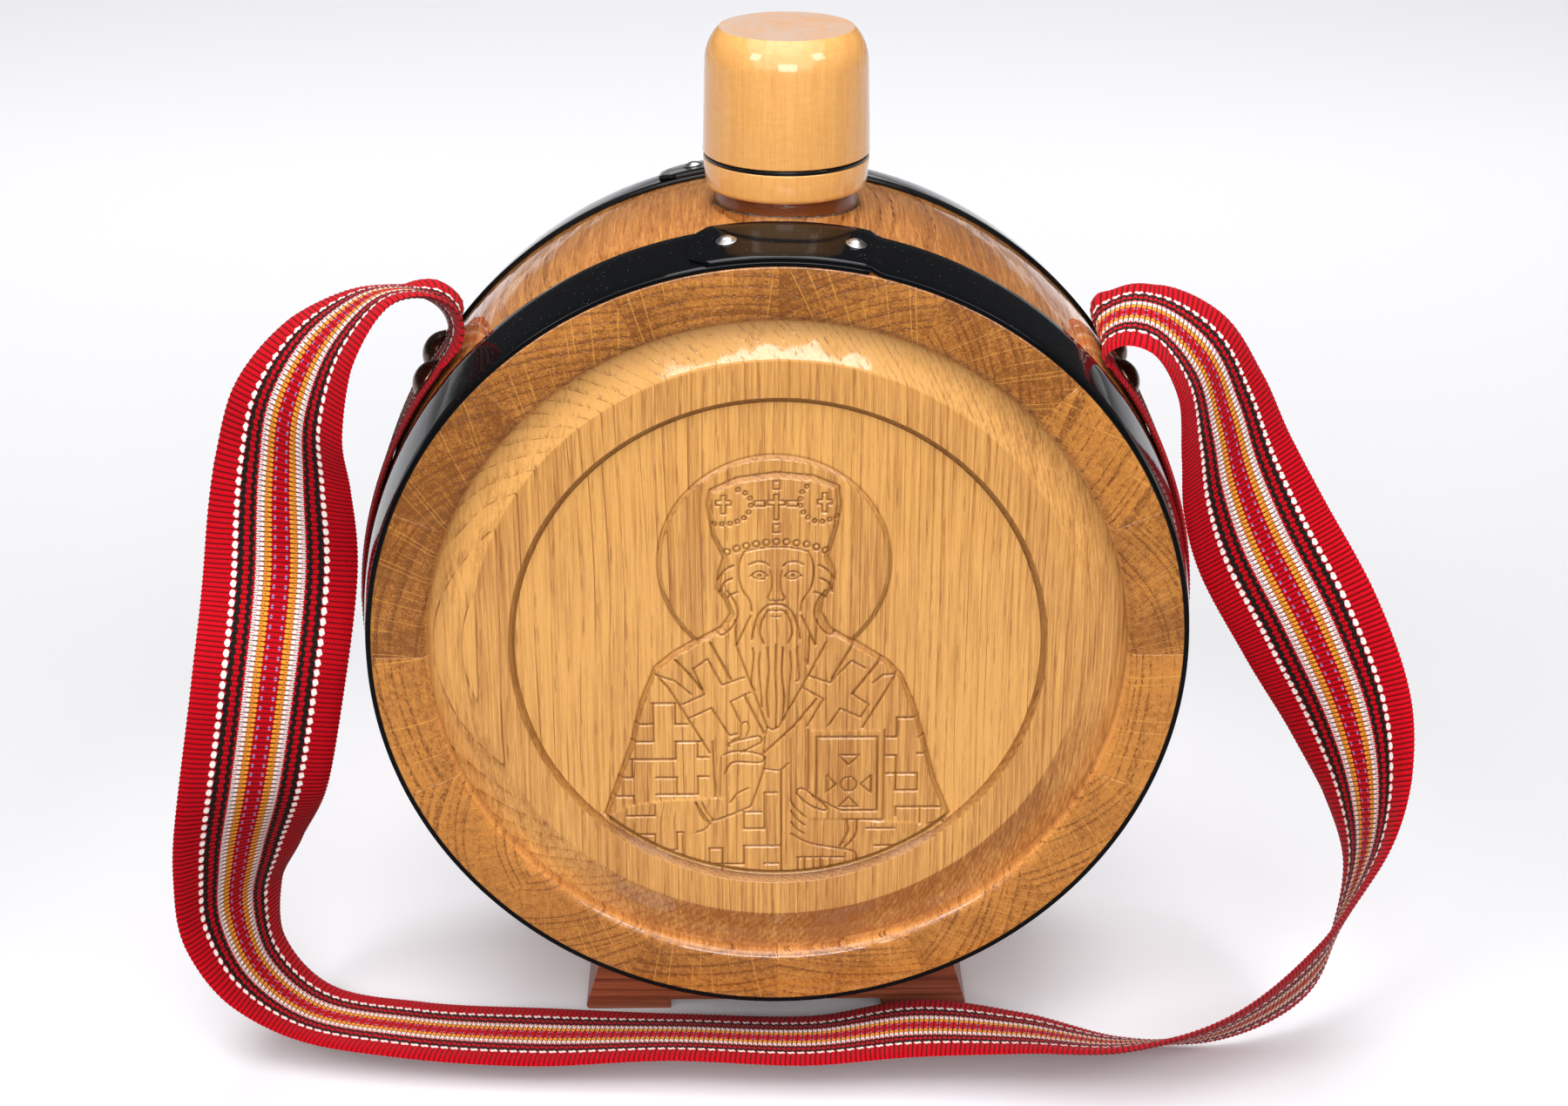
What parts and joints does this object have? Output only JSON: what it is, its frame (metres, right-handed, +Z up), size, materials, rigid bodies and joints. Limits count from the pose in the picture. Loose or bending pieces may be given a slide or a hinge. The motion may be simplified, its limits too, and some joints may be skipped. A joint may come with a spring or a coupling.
{
  "type": "wooden canteen",
  "caption": "Flat round coopered oak canteen with two steel hoops, a screw-capped neck, a saddle base and a striped woven carrying strap.",
  "frame": {"origin": "on the floor, midway between the two feet of the base and under the middle of the body", "axes": "+X to the right of a viewer who faces the sunk front head, +Y away from that viewer, from the front head to the back head, +Z up along the neck"},
  "size_m": [0.35, 0.1289, 0.2869],
  "materials": {
    "oak_stave": "lacquered oak, end grain open at both ends",
    "oak_head": "lacquered oak, straight vertical grain",
    "hoop_steel": "gloss black enamel on steel strip",
    "rivet_steel": "bright steel heads",
    "seat_wood": "dark reddish wood with glue at its edge",
    "turned_wood": "lacquered turned wood",
    "neck_plastic": "black moulded plastic",
    "liner_rubber": "soft pale sealing disc",
    "base_wood": "reddish brown wood, thin lacquer",
    "dowel_wood": "plain beech dowel",
    "strap_webbing": "woven red webbing with striped middle",
    "stud_bronze": "dark antique bronze domes"
  },
  "bodies": {
    "root": {"stave_01": "oak_stave", "stave_02": "oak_stave", "stave_03": "oak_stave", "stave_04": "oak_stave", "stave_05": "oak_stave", "stave_06": "oak_stave", "stave_07": "oak_stave", "stave_08": "oak_stave", "stave_09": "oak_stave", "stave_10": "oak_stave", "stave_11": "oak_stave", "stave_12": "oak_stave", "stave_13": "oak_stave", "stave_14": "oak_stave", "stave_15": "oak_stave", "stave_16": "oak_stave", "head_front": "oak_head", "head_back": "oak_head", "hoop_front": "hoop_steel", "hoop_back": "hoop_steel", "hoop_rivets_front": "rivet_steel", "hoop_rivets_back": "rivet_steel", "neck_seat": "seat_wood", "neck_collar": "turned_wood", "neck_tube": "neck_plastic", "base": "base_wood", "base_pins": "dowel_wood", "strap": "strap_webbing", "strap_studs_left": "stud_bronze", "strap_studs_right": "stud_bronze"},
    "cap_lift": {"cap_liner": "liner_rubber"},
    "cap": {"cap": "turned_wood", "cap_insert": "neck_plastic"}
  },
  "joints": [
    {"name": "cap_lift", "type": "slide", "parent": "root", "child": "cap_lift", "axis": [0, 0, 1], "range_m": [0, 0.0101]},
    {"name": "cap_turn", "type": "hinge", "parent": "cap_lift", "child": "cap", "pos_m": [0.0025, 0, 0.2542], "axis": [0, 0, 1], "range_deg": [0, 900]}
  ],
  "couplings": [
    {"joint": "cap_lift", "follows": "cap_turn", "m_per_rad": 0.00063662}
  ]
}
